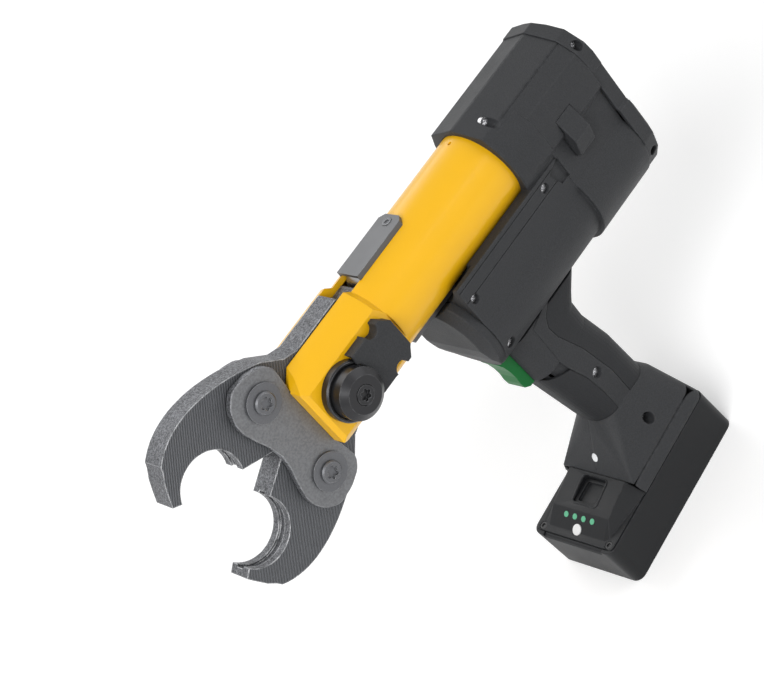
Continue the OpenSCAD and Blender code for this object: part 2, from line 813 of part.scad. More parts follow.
// Screws put in from the near side: X, Z, seat of the head in Y, end of the shank in Y, shank and head radius
shell_screw_places = [
    [-73, -73.5, -24, 20, shank_r, head_r], [-34.7, grip_mid - 4, -11.5, 7.5, shank_r, head_r],
    [-31.7, grip_low - 13, -17, 13, shank_r, head_r], [13.3, 28.3, -13, 12, thin_shank_r, thin_head_r],
    [9, -24.5, -27.5, -21.5, thin_shank_r, thin_head_r], [-73.7, -31, -27, -21, thin_shank_r, thin_head_r]
];
cover_screw_places = [
    [86.4, 19, -25, -19, thin_shank_r, thin_head_r], [86, -74.4, -25, -19, thin_shank_r, thin_head_r]
];

module screw_bosses(places) {
    for (p = places) translate([p[0], 0, p[1]]) rod_y(p[2] - 8, max(-p[2] + 8, p[3] + 1), p[5] + boss_wall);
}

// The near shell has the pockets of the screws, the far shell the blind bores of those that reach it
module screw_cuts(places, far) {
    for (p = places) translate([p[0], 0, p[1]]) {
        if (!far) rod_y(-deck * 2, p[2], p[5] + pass);
        if (!far) rod_y(-deck, min(thru, p[3]), p[4] + seat_gap);
        if (far && p[3] > 0) rod_y(-p[3] - thru, thru, p[4] + seat_gap);
    }
}

module screws(places) {
    for (p = places) translate([p[0], 0, p[1]]) difference() {
        union() {
            rod_y(p[2] - head_h, p[2], p[5]);
            rod_y(p[2], p[3], p[4]);
        }
        side_plate(p[2] - head_h - thru, p[2] - head_h + head_socket) lobe_socket(p[5] * 0.72);
    }
}

module openings(far) {
    block([-90, -trigger_y - pass, -125], [-50, trigger_y + pass, -91.5]);
    if (!far) block([reset_x - pass, -deck * 2, reset_low - pass * 2],
        [reset_x + reset_l + pass, -20, reset_top + pass * 2]);
}

// Fine lines along the housing and the dark pocket behind the side strip
module trim_cuts() {
    translate([0, -roof_y - 1, roof_z - 1]) rod_x(18, cover_x + thru, groove_r);
    for (z = strip_lines)
        block([motor_front - thru, -strip_side - thru, z], [block_x, groove_r - strip_side, z + groove_r]);
    side_plate(-rear_y, -strip_side + 1.6)
        polygon([[16.7, -21.5], [block_x + 1, -17.5], [block_x + 1, -33], [20.5, -33]]);
}

module housing(far) {
    difference() {
        union() {
            difference() {
                housing_outer();
                housing_inner();
            }
            intersection() {
                screw_bosses(shell_screw_places);
                housing_outer_simple();
            }
            ribs();
        }
        head_space();
        openings(far);
        trim_cuts();
        screw_cuts(shell_screw_places, far);
        rod_x(wall + 5, cover_x + thru, cylinder_r + 0.05);
        motor_seat();
    }
}

// Ribs that carry the cylinder, the motor and the gearing
module ribs() {
    for (x = [-66, -40, -14, 12, 28]) run_x(x, x + 2.4) difference() {
        translate([0, motor_z]) circle(motor_r - 1);
        translate([0, motor_z]) circle(26.1);
    }
    for (x = [34, 56, 75]) run_x(x, x + 2.4) difference() {
        block_section(1.4);
        translate([-24.3, -82.3]) square([48.6, 82]);
    }
}

// Plain volume that trims the bosses
module housing_outer_simple() {
    run_x(motor_front, block_x) motor_section(motor_r - 0.4);
    run_x(0.5, block_x) polygon(whole(collar_half(front_y, 0.4)));
    block([-60, -grip_y + pad_t, grip_low - 20], [-12, grip_y - pad_t, -92]);
}

module motor_seat() {
    translate([0, 0, motor_z]) rod_x(-70.1, 36, 26.1);
}

module left_shell() {
    stance() color("#3f4043") difference() {
        housing(false);
        block([-200, 0, -300], [200, 100, 100]);
    }
}

module right_shell() {
    stance() color("#3f4043") mirror([0, 1, 0]) difference() {
        housing(true);
        block([-200, 0, -300], [200, 100, 100]);
    }
}

// Upper part of the cover section with the waist between hump and bulge
module cover_section(grow) {
    polygon(whole([
        [0, ridge_z + cover_lip - grow], [roof_y - grow * 0.7, roof_z + cover_lip - grow],
        [rear_y - 3.2 - grow, 17.8], [rear_y - grow, 6.5], [rear_y - grow, waist_top],
        [waist_y - grow, waist_top - 1.4], [waist_y - grow, waist_bottom + 1.4],
        [rear_y - grow, waist_bottom],
        [rear_y + 0.4 - grow, -62], [33.6 - grow, -75], [26 - grow * 0.8, -84.6 + grow * 0.6],
        [14 - grow * 0.5, -92 + grow], [0, -94.4 + grow]
    ]));
}

// Section of the lower bulge, set in by grow
module bulge_section(grow) {
    polygon(whole([
        [0, waist_bottom - grow * 2], [rear_y - grow, waist_bottom - grow * 2],
        [rear_y + 0.4 - grow, -62 + grow],
        [33.6 - grow, -75 + grow], [26 - grow, -84.6 + grow], [14 - grow, -92 + grow], [0, -94.4 + grow]
    ]));
}

module cover_outer() {
    difference() {
        run_x(cover_x + seat_gap * 2, back_x) cover_section(0);
        // Chamfers round the rear edges
        side_plate(-deck * 2, deck * 2) polygon([
            [back_x - cover_chamfer, ridge_z + thru * 2], [back_x + thru, ridge_z + thru * 2],
            [back_x + thru, ridge_z - cover_chamfer * 2]
        ]);
        mirrored_y() translate([0, 0, waist_bottom]) linear_extrude(height = deck * 2) polygon([
            [back_x - cover_chamfer, rear_y + thru], [back_x + thru, rear_y + thru],
            [back_x + thru, rear_y - cover_chamfer]
        ]);
    }
    hull() {
        run_x(back_x - slice_h, back_x) bulge_section(0);
        run_x(bulge_x - slice_h, bulge_x) bulge_section(4);
    }
}

module rear_cover() {
    stance() color("#3a3b3e") difference() {
        union() {
            difference() {
                cover_outer();
                run_x(cover_x, back_x - wall) cover_section(wall);
            }
            intersection() {
                screw_bosses(cover_screw_places);
                run_x(cover_x + seat_gap * 2, back_x - slice_h) cover_section(slice_h);
                block([cover_x, -deck, -deck * 3], [back_x, -15, deck]);
            }
        }
        screw_cuts(cover_screw_places, false);
    }
}

// Front cap of the motor housing, its chin drawn back
module motor_cap() {
    stance() color("#333437") difference() {
        intersection() {
            translate([0, 0, motor_z]) union() {
                rod_x(cap_shoulder, motor_front - seat_gap * 2, motor_r - cap_step);
                cone_x(cap_front, cap_shoulder, cap_face, motor_r - cap_step);
            }
            side_plate(-deck, deck) polygon([
                [motor_front, -20], [cap_front, -20], [cap_front, -62], [cap_front + 2.5, -73],
                [cap_front + 7, -83], [motor_front, -93.5]
            ]);
        }
        translate([0, 0, motor_z]) rod_x(cap_shoulder + wall, motor_front, cap_face - wall);
        rod_x(cap_front - thru, 0, saddle_r);
    }
}

module shell_screws() {
    stance() color("#8a8b8d") {
        screws(shell_screw_places);
        screws(cover_screw_places);
    }
}

// Machine inside

module press_cylinder() {
    stance() color("#77787b") difference() {
        union() {
            rod_x(tube_back + 0.4, cover_x - 1, cylinder_r);
            rod_x(-28, tube_back + 1, bore_r - 0.1);
        }
        rod_x(22, 76.4, piston_r + 0.1);
        rod_x(-29, 23, rod_r + fit);
    }
}

module pump_block() {
    stance() color("#6d6e72") difference() {
        block([36, -24, -82], [74, 24, -cylinder_r]);
        translate([0, 0, motor_z]) rod_x(30, 69, 17);
        translate([0, 0, motor_z]) rod_x(68, 72, 5 + fit);
        translate([53, 0, motor_z]) cylinder(h = 29.4, r = 5 + fit);
        rod_x(30, 80, cylinder_r);
    }
}

module motor_can() {
    stance() color("#55565a") translate([0, 0, motor_z]) difference() {
        rod_x(-70, -8, 26);
        rod_x(-67, -5, 22.5);
        rod_x(-71, -60, 3 + fit);
    }
}

module gear_case() {
    stance() color("#4a4b4e") translate([0, 0, motor_z]) difference() {
        rod_x(8, 35.8, 26);
        rod_x(11, 32, 21);
        rod_x(7, 12, 3 + fit);
        rod_x(30, 40, 8 + fit);
    }
}

module motor_rotor() {
    stance() color("#9c6b3c") translate([0, 0, motor_z]) {
        rod_x(-73, 14, 3);
        rod_x(-60, -14, 17);
        rod_x(12, 24, 6);
    }
}

module cooling_fan() {
    stance() color("#2f3033") translate([0, 0, motor_z]) difference() {
        union() {
            rod_x(-4, -1, 24);
            rod_x(-1, 5, 7);
            for (a = [0 : 40 : 320]) rotate([a, 0, 0]) block([-2, -0.8, 6], [4.4, 0.8, 23]);
        }
        rod_x(-8, 8, 3);
    }
}

module eccentric_shaft() {
    stance() color("#8d8e90") translate([0, 0, motor_z]) {
        rod_x(26, 66, 8);
        rod_x(66, 71.6, 5);
        rod_x(26, 31, 19);
        translate([0, 0, 2]) rod_x(46, 60, 12.5);
    }
}

module pump_plunger() {
    stance() color("#b0b1b3") translate([53, 0, motor_z]) {
        translate([0, 0, 14.8]) cylinder(h = 11, r = 5);
    }
}

module switch_block() {
    stance() color("#26272a") {
        block([-52, -12.7, -122], [-24, 12.7, -96]);
        block([-46, -6, -128], [-30, 6, -121]);
    }
}

module control_board() {
    stance() color("#1f5a34") difference() {
        union() {
            block([-44, -1, grip_low + 8], [-15.6, 1, -134]);
            for (z = [grip_low + 10, grip_low + 19]) block([-38, 0.5, z], [-26, 5, z + 6]);
            block([-24, 0.5, -150], [-16, 6, -138]);
        }
        translate([-34.7, 0, grip_mid - 4]) rod_y(-3, 10, 6);
    }
}

module grip_zone_rear() {
    side_plate(-30, 30) polygon([
        [-29, -86], [10, -86], [10, grip_low + 4.8], [-24.5, grip_low + 4.8], [-25.3, grip_low + 27],
        [-31.8, -133], [-40.1, -111],
        [-41.3, -101], [-38.2, -94.5], [-29.8, -88.1]
    ]);
}

module grip_zone_front() {
    side_plate(-30, 30) polygon([
        [-80, -124.8], [-66.8, -124.8], [-62.3, -129], [-48.2, -134.4], [-42.7, grip_mid],
        [-39.7, grip_low + 22], [-38.9, grip_low + 4.8], [-80, grip_low + 4.8]
    ]);
}

module grip_pad_rear() {
    stance() color("#232426") difference() {
        intersection() {
            union() {
                grip_upper(0);
                grip_lower(0);
            }
            grip_zone_rear();
        }
        grip_upper(pad_t - 0.04);
        grip_lower(pad_t - 0.04);
        translate([0, 0, motor_z]) rod_x(-90, 40, motor_r);
    }
}

module grip_pad_front() {
    stance() color("#232426") difference() {
        intersection() {
            grip_lower(0);
            grip_zone_front();
        }
        grip_upper(pad_t - 0.04);
        grip_lower(pad_t - 0.04);
    }
}

// Seat of the work light on the sloping front of the foot, in the battery's frame
light_r = 3;
light_angle = 48.8;
module light_place() {
    translate([-5.2, 0, 53.2]) rotate([0, -light_angle, 0]) children();
}

module work_light() {
    color("#f4f6f8") light_place() cylinder(h = 3, r = light_r, $fn = small_fn);
}

module contact_block() {
    color("#2a2b2e") {
        block([2, -16, 47], [30, 16, 51.3]);
        for (y = [-12 : 8 : 12]) block([6, y - 0.4, 44.6], [20, y + 0.4, 47]);
    }
}

// Trigger and buttons

module trigger() {
    stance() color("#147a38") side_plate(-trigger_y, trigger_y) polygon([
        [-80.5, -92.4], [-78, -98], [-76.6, -104], [-76, -110], [-76.4, -116], [-75.8, -120.6], [-72, -123.6],
        [-66, -123.8], [-60, -122], [-58, -110], [-58, -92.4]
    ]);
}

// Edge between the button's face and its ramp
reset_edge = -16;
// How far the button reaches in from the block's side
reset_foot = 6.8;

module reset_button() {
    stance() color("#3a3b3e") run_x(reset_x, reset_x + reset_l) polygon([
        [reset_foot - rear_y, reset_top], [0.4 - rear_y, reset_top], [-reset_y, reset_edge],
        [0.6 - reset_y, reset_edge - 1.2], [4 - reset_y, reset_low + 0.6], [reset_foot - rear_y, reset_low]
    ]);
}

// Battery, drawn in its own frame

module battery_plan(inset) {
    for (x = [-1, 1]) for (y = [-1, 1])
        translate([x * (battery_l / 2 - battery_corner) + plan_x, y * (deck - battery_corner)])
            circle(battery_corner - inset, $fn = small_fn);
    translate([battery_front + inset, -deck + battery_corner])
        square([battery_l - inset * 2, (deck - battery_corner) * 2]);
    translate([battery_front + battery_corner, -deck + inset])
        square([battery_l - battery_corner * 2, (deck - inset) * 2]);
}

// Slope of the lamp panel, degrees
panel_slope = 27;
panel_top = [-41.7, 42.6];
panel_end_x = battery_front + 3.3;
panel_end = [panel_end_x, panel_top[1] - (panel_top[0] - panel_end_x) * tan(panel_slope)];
post_x = battery_l / 2 - 6.5;
post_y = deck - 6.5;
post_places = [[plan_x - post_x, post_y], [plan_x - post_x, -post_y], [post_x, post_y], [post_x, -post_y]];

module battery_case() {
    color("#2e2f32") difference() {
        union() {
            difference() {
                linear_extrude(height = groove_z) battery_plan(0);
                translate([0, 0, wall]) linear_extrude(height = groove_z) battery_plan(wall);
            }
            for (p = post_places) translate([p[0], p[1], 23.2]) cylinder(h = 10, r = 4.6, $fn = small_fn);
        }
        for (p = post_places) translate([p[0], p[1], 22.6]) cylinder(h = 20, r = 1.55, $fn = small_fn);
        // Lowered ledge between the two front corners
        block([battery_front - thru, -28, 32.4], [battery_front + 3.1, 28, 60]);
    }
}

// Hood with the lamp panel, narrowing to the front
module hood() {
    hull() {
        side_plate(-26.5, 26.5) polygon([
            [panel_end[0], groove_z - 2.4], panel_end, panel_top, [-36, 43.4], [foot_front - pass, 46.2],
            [foot_front - pass, groove_z]
        ]);
        translate([0, 0, groove_z]) linear_extrude(height = 1) polygon([
            [foot_front - pass, deck - 0.6], [battery_front + 10.5, deck - 8],
            [battery_front + 10.5, 8 - deck], [foot_front - pass, 0.6 - deck]
        ]);
    }
}

// Place on the lamp panel, s along the slope from its top edge
module on_panel(s, y) {
    translate([panel_top[0] - s * cos(panel_slope), y, panel_top[1] - s * sin(panel_slope)])
        rotate([0, -panel_slope, 0]) children();
}

module battery_top() {
    color("#2a2b2e") difference() {
        union() {
            translate([0, 0, groove_z - 1.9]) linear_extrude(height = 1.9) battery_plan(wall + fit);
            translate([0, 0, groove_z]) linear_extrude(height = 0.7) battery_plan(1.4);
            hood();
            block([foot_front - 2, -20, 35], [battery_back - 10.5, 20, 43.6]);
            mirrored_y() block([foot_front - 2, 18, 41], [battery_back - 10.5, 24, 43.6]);
        }
        for (p = post_places) translate([p[0], p[1], 0]) {
            cylinder(h = 60, r = 1.7, $fn = small_fn);
            translate([0, 0, groove_z - 1]) cylinder(h = 30, r = 2.9, $fn = small_fn);
        }
        block([-36.4, -11, 37.4], [-17.4, 11, 60]);
        for (i = [-1.5 : 1 : 1.5]) on_panel(4.4, i * lamp_gap) translate([0, 0, -1])
            cylinder(h = 4, r = lamp_r + fit, $fn = small_fn);
        on_panel(12.4, 0) translate([0, 0, -2.2]) cylinder(h = 9, r = 3.8 + pass, $fn = small_fn);
        block([4, -13, 36.4], [40, 13, 50]);
        block([battery_front - thru, -deck, 30], [battery_front + 3.2, deck, 50]);
    }
}

function cell_x(i) = plan_x + (i - (cell_count - 1) / 2) * cell_pitch;
cell_row = cell_count * cell_pitch / 2 - 0.5;

module battery_cells() {
    color("#3a6ea5") for (i = [0 : cell_count - 1])
        translate([cell_x(i), 0, wall + 1 + cell_r])
            rod_y(-cell_l / 2, cell_l / 2, cell_r);
}

module cell_holder() {
    color("#1b1c1e") mirrored_y() difference() {
        block([plan_x - cell_row, 22, wall], [plan_x + cell_row, 26, wall + cell_r * 2 + 3.5]);
        for (i = [0 : cell_count - 1])
            translate([cell_x(i), 0, wall + 1 + cell_r])
                rod_y(20, 30, cell_r + seat_gap);
    }
}

module charge_lamps() {
    color("#69be91") for (i = [-1.5 : 1 : 1.5]) on_panel(4.4, i * lamp_gap) translate([0, 0, -1])
        cylinder(h = 1.2, r = lamp_r, $fn = small_fn);
}

module battery_screws() {
    color("#1a1a1c") for (p = post_places) translate([p[0], p[1], 0]) difference() {
        union() {
            translate([0, 0, groove_z - 1]) cylinder(h = 1.4, r = 2.7, $fn = small_fn);
            translate([0, 0, 24]) cylinder(h = groove_z - 24.5, r = 1.5, $fn = small_fn);
        }
        translate([0, 0, groove_z - 0.4]) linear_extrude(height = 3) lobe_socket(1.9);
    }
}

module release_button() {
    color("#303134") difference() {
        block([-36.1, -10.7, 38.5], [-17.7, 10.7, 42]);
        side_plate(-8.4, 8.4) polygon([[-34.6, 40], [-20, 40], [-20, 60], [-34.6, 60]]);
    }
}

module charge_button() {
    color("#f2f2f2") on_panel(12.4, 0) translate([0, 0, -1.1]) cylinder(h = 1.4, r = 3.8, $fn = small_fn);
}

head_fork();
cover_strips();
strip_screws();
bolt_collars();
link_plate_near();
link_plate_far();
pivot_pins();
pivot_washers();
pivot_screws();
retaining_bolt();
bolt_cap();
cap_screw();
bolt_catch();
upper_jaw();
lower_jaw();
roller_carriage();
roller_pins();
upper_roller();
lower_roller();
press_piston();
left_shell();
right_shell();
rear_cover();
motor_cap();
shell_screws();
press_cylinder();
pump_block();
motor_can();
gear_case();
switch_block();
control_board();
grip_pad_rear();
grip_pad_front();
work_light();
contact_block();
motor_rotor();
cooling_fan();
eccentric_shaft();
pump_plunger();
trigger();
reset_button();
battery_case();
battery_top();
battery_cells();
cell_holder();
charge_lamps();
battery_screws();
release_button();
charge_button();
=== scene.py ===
"""Battery press tool with pressing tongs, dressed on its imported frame. Metres, row frame."""
import json
import math

import bmesh
import bpy
from mathutils import Matrix, Vector


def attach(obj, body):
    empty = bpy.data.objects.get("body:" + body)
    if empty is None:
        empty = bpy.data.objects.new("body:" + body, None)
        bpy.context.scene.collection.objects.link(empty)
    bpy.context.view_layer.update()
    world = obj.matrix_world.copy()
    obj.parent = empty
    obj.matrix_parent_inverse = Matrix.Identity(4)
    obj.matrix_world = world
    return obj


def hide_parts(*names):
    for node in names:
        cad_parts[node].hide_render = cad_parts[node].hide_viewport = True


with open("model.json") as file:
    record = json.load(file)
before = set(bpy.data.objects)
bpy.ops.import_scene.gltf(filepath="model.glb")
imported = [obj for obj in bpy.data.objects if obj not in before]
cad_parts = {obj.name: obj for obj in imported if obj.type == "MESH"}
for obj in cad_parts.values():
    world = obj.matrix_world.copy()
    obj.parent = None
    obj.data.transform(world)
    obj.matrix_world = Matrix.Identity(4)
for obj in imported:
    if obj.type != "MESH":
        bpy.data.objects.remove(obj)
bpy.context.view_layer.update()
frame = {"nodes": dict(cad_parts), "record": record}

# The tool frame, in millimetres, has X along the tube, Y away from the camera and Z up. The row
# frame starts at FOOT_X along the tube, AXIS_HEIGHT below its axis, and is turned by TILT.
MM = 0.001
TILT = math.radians(5.6)
FOOT_X = -54.0
AXIS_HEIGHT = 262.5


def row_dir(x, y, z):
    """A direction of the tool frame, in the row frame."""
    turned_x = x * math.cos(TILT) + z * math.sin(TILT)
    return Vector((turned_x, y, -x * math.sin(TILT) + z * math.cos(TILT)))


def row_pt(x, y, z):
    """A point of the tool frame in millimetres, in the row frame in metres."""
    return row_dir(x - FOOT_X, y, z + AXIS_HEIGHT) * MM


def tool_xz(v):
    """The tool frame's X and Z, in millimetres, of a point in the row frame in metres."""
    x, z = v.x / MM, v.z / MM
    return (x * math.cos(TILT) - z * math.sin(TILT) + FOOT_X,
            x * math.sin(TILT) + z * math.cos(TILT) - AXIS_HEIGHT)


# Shader nodes


def new_material(name):
    """A material with its node tree and its Principled BSDF."""
    m = bpy.data.materials.new(name)
    m.use_nodes = True
    nt = m.node_tree
    bsdf = nt.nodes["Principled BSDF"]
    return m, nt, bsdf


def add(nt, kind, **values):
    """A new node, with each value on the input of its name, or else on the node itself."""
    n = nt.nodes.new(kind)
    for key, value in values.items():
        if key in n.inputs:
            n.inputs[key].default_value = value
        else:
            setattr(n, key, value)
    return n


def srgb(hexa):
    """A shader's colour from six hexadecimal digits."""
    out = []
    for i in (0, 2, 4):
        c = int(hexa[i:i + 2], 16) / 255
        out.append(c / 12.92 if c <= 0.04045 else ((c + 0.055) / 1.055) ** 2.4)
    return (*out, 1.0)


def scaled(colour, k):
    """A colour k times as bright, white at most."""
    return tuple(min(1.0, c * k) for c in colour[:3]) + (1.0,)


def mixed(nt, fac, a, b):
    """A colour between a and b; each is a colour or an output."""
    mix = add(nt, "ShaderNodeMix", data_type="RGBA")
    nt.links.new(fac, mix.inputs[0])
    for slot, value in ((6, a), (7, b)):
        if isinstance(value, tuple):
            mix.inputs[slot].default_value = value
        else:
            nt.links.new(value, mix.inputs[slot])
    return mix.outputs[2]


def ranged(nt, value, lo, hi, to_lo=0.0, to_hi=1.0):
    """A value with the range from lo to hi stretched to that from to_lo to to_hi."""
    r = add(nt, "ShaderNodeMapRange")
    for key, v in (("From Min", lo), ("From Max", hi), ("To Min", to_lo), ("To Max", to_hi)):
        r.inputs[key].default_value = v
    nt.links.new(value, r.inputs["Value"])
    return r.outputs["Result"]


def math_node(nt, operation, a, b):
    """The result of an operation on a and b; each is a number or an output."""
    n = add(nt, "ShaderNodeMath", operation=operation)
    for slot, value in enumerate((a, b)):
        if isinstance(value, (int, float)):
            n.inputs[slot].default_value = value
        else:
            nt.links.new(value, n.inputs[slot])
    return n.outputs["Value"]


def noise(nt, vector, scale, detail=3.0, rough=0.55):
    """Noise from 0 to 1 over the points of a vector output."""
    n = add(nt, "ShaderNodeTexNoise", Scale=scale, Detail=detail, Roughness=rough)
    nt.links.new(vector, n.inputs["Vector"])
    return n.outputs["Fac"]


def bumped(nt, height, strength, distance, normal):
    """A normal with the relief of a height added, distance deep in metres."""
    b = add(nt, "ShaderNodeBump", Strength=strength, Distance=distance)
    nt.links.new(height, b.inputs["Height"])
    nt.links.new(normal, b.inputs["Normal"])
    return b.outputs["Normal"]


# Materials. A span is the part of a node's output that is stretched to 0 to 1, and a tone is a
# factor on the base colour. Depths are in metres.

TONE_SPAN = (0.3, 0.7)
SMUDGE = 0.05
COAT_ROUGHNESS = 0.12
BEVEL_SAMPLES = 4
GAP_SAMPLES = 8

FINE_DETAIL = 2.0
FINE_ROUGH = 0.6
GRAIN_DEPTH = 0.0002
FLECK_SPAN = (0.38, 0.62)
FLECK_TONE = 1.9

SIDE_SPAN = (0.7, 0.95)
MARK_TURN = math.radians(-56)
MARK_SCALE = 285.0
MARK_WAVER = 1.5
MARK_DETAIL = 2.0
MARK_DETAIL_SCALE = 3.0
MARK_SPAN = (0.3, 0.75)
MARK_TONE = 4.6
MARK_BUMP = 0.6
MARK_DEPTH = 0.0003

CAST_SCALE = 850.0
CAST_DETAIL = 5.0
CAST_ROUGH = 0.7
CAST_SPAN = (0.4, 0.68)
CAST_TONES = (0.5, 2.6)
CAST_DEPTH = 0.0006

# Edge colour: partly wear and partly a painted highlight along the edges
EDGE_SPAN = (0.99, 0.90)
PATCH_SCALE = 240.0
PATCH_DETAIL = 4.0
PATCH_SPAN = (0.35, 0.62)
PATCH_LEAST = 0.15

# Painted shade: gaps and hollows darken by ambient occlusion
PAINTED_SHADE_SPAN = (0.15, 0.6)
PAINTED_SHADE_TONE = 0.35


def side_mask(nt, coord):
    """1 on faces that look sideways and 0 on those that look along the tool."""
    side = add(nt, "ShaderNodeSeparateXYZ")
    nt.links.new(coord["Normal"], side.inputs[0])
    return ranged(nt, math_node(nt, "ABSOLUTE", side.outputs["Y"], 0.0), *SIDE_SPAN)


def tool_marks(nt, coord):
    """The fine parallel marks of a machined face."""
    turned = add(nt, "ShaderNodeMapping", Rotation=(0.0, MARK_TURN, 0.0))
    nt.links.new(coord["Object"], turned.inputs["Vector"])
    wave = add(nt, "ShaderNodeTexWave", Scale=MARK_SCALE, Distortion=MARK_WAVER,
               Detail=MARK_DETAIL)
    wave.inputs["Detail Scale"].default_value = MARK_DETAIL_SCALE
    nt.links.new(turned.outputs["Vector"], wave.inputs["Vector"])
    return wave.outputs["Fac"]


def edge_mask(nt, softened):
    """1 where the softened normal leaves the true one, as it does along edges, and 0 elsewhere."""
    flat = add(nt, "ShaderNodeVectorMath", operation="DOT_PRODUCT")
    nt.links.new(softened, flat.inputs[0])
    nt.links.new(add(nt, "ShaderNodeNewGeometry").outputs["Normal"], flat.inputs[1])
    return ranged(nt, flat.outputs["Value"], *EDGE_SPAN)


def surface(name, colour, rough, metal=0.0, spec=0.5, coat=0.0, spread=0.06, tone_scale=38.0,
            grain=0.0, grain_scale=900.0, fleck=0.0, lines=0.0, rim=None, rim_bump=0.0,
            edge=0.0004, edge_wear_and_shading=0.0, edge_wear_and_shading_colour=None, even_edge_tone=False, painted_shade_depth=0.0):
    """A finish with a change of tone, fine grain, softly rounded edges, and wear and painted
    highlights along them.

    spread is how far the tone changes. fleck is the contrast of the fine grain's colour. lines
    adds the fine tool marks of a machined side face. rim is the colour of the faces that look
    along the tool instead of sideways, which keep a rough cast skin. edge is the radius of the
    softened edges, whose colour is partly wear and partly a painted highlight. Even edges keep
    one tone, as the darkened outline of a soft pad does.
    Gaps and hollows darken over the given depth: painted shade, from ambient occlusion."""
    m, nt, bsdf = new_material(name)
    coord = add(nt, "ShaderNodeTexCoord").outputs
    base = srgb(colour)
    tone = noise(nt, coord["Object"], tone_scale)
    shade = mixed(nt, tone, scaled(base, 1 - spread), scaled(base, 1 + spread))
    if fleck > 0:
        fine = noise(nt, coord["Object"], grain_scale, FINE_DETAIL, FINE_ROUGH)
        flecks = math_node(nt, "MULTIPLY", ranged(nt, fine, *FLECK_SPAN), fleck)
        shade = mixed(nt, flecks, shade, scaled(base, FLECK_TONE))
    bevel = add(nt, "ShaderNodeBevel", samples=BEVEL_SAMPLES, Radius=edge)
    normal = softened = bevel.outputs["Normal"]
    if rim or lines > 0:
        on_side = side_mask(nt, coord)
    if lines > 0:
        marks = math_node(nt, "MULTIPLY", tool_marks(nt, coord), on_side)
        ridges = ranged(nt, marks, *MARK_SPAN, 0.0, lines)
        shade = mixed(nt, ridges, shade, scaled(base, MARK_TONE))
        normal = bumped(nt, marks, lines * MARK_BUMP, MARK_DEPTH, normal)
    if rim:
        skin = noise(nt, coord["Object"], CAST_SCALE, CAST_DETAIL, CAST_ROUGH)
        dark, light = (scaled(srgb(rim), k) for k in CAST_TONES)
        shade = mixed(nt, on_side, mixed(nt, ranged(nt, skin, *CAST_SPAN), dark, light), shade)
        off_side = math_node(nt, "SUBTRACT", 1.0, on_side)
        skin_height = math_node(nt, "MULTIPLY", skin, off_side)
        normal = bumped(nt, skin_height, rim_bump, CAST_DEPTH, normal)
    # Edge colour: partly wear and partly a painted highlight; on the soft grip it only darkens the
    # outline
    if edge_wear_and_shading > 0:
        edge_share = math_node(nt, "MULTIPLY", edge_mask(nt, softened), edge_wear_and_shading)
        if not even_edge_tone:
            patches = noise(nt, coord["Object"], PATCH_SCALE, PATCH_DETAIL)
            patches = ranged(nt, patches, *PATCH_SPAN, PATCH_LEAST, 1.0)
            edge_share = math_node(nt, "MULTIPLY", edge_share, patches)
        shade = mixed(nt, edge_share, shade, srgb(edge_wear_and_shading_colour))
    # Painted shade: gaps, pockets and creases darken by ambient occlusion
    if painted_shade_depth > 0:
        gap = add(nt, "ShaderNodeAmbientOcclusion", samples=GAP_SAMPLES, only_local=True,
                  Distance=painted_shade_depth)
        unshaded = ranged(nt, gap.outputs["AO"], *PAINTED_SHADE_SPAN)
        shade = mixed(nt, unshaded, scaled(base, PAINTED_SHADE_TONE), shade)
    if grain > 0:
        height = noise(nt, coord["Object"], grain_scale, FINE_DETAIL, FINE_ROUGH)
        normal = bumped(nt, height, grain, GRAIN_DEPTH, normal)
    nt.links.new(shade, bsdf.inputs["Base Color"])
    nt.links.new(ranged(nt, tone, *TONE_SPAN, rough - SMUDGE, rough + SMUDGE),
                 bsdf.inputs["Roughness"])
    nt.links.new(normal, bsdf.inputs["Normal"])
    bsdf.inputs["Metallic"].default_value = metal
    bsdf.inputs["Specular IOR Level"].default_value = spec
    bsdf.inputs["Coat Weight"].default_value = coat
    bsdf.inputs["Coat Roughness"].default_value = COAT_ROUGHNESS
    return m
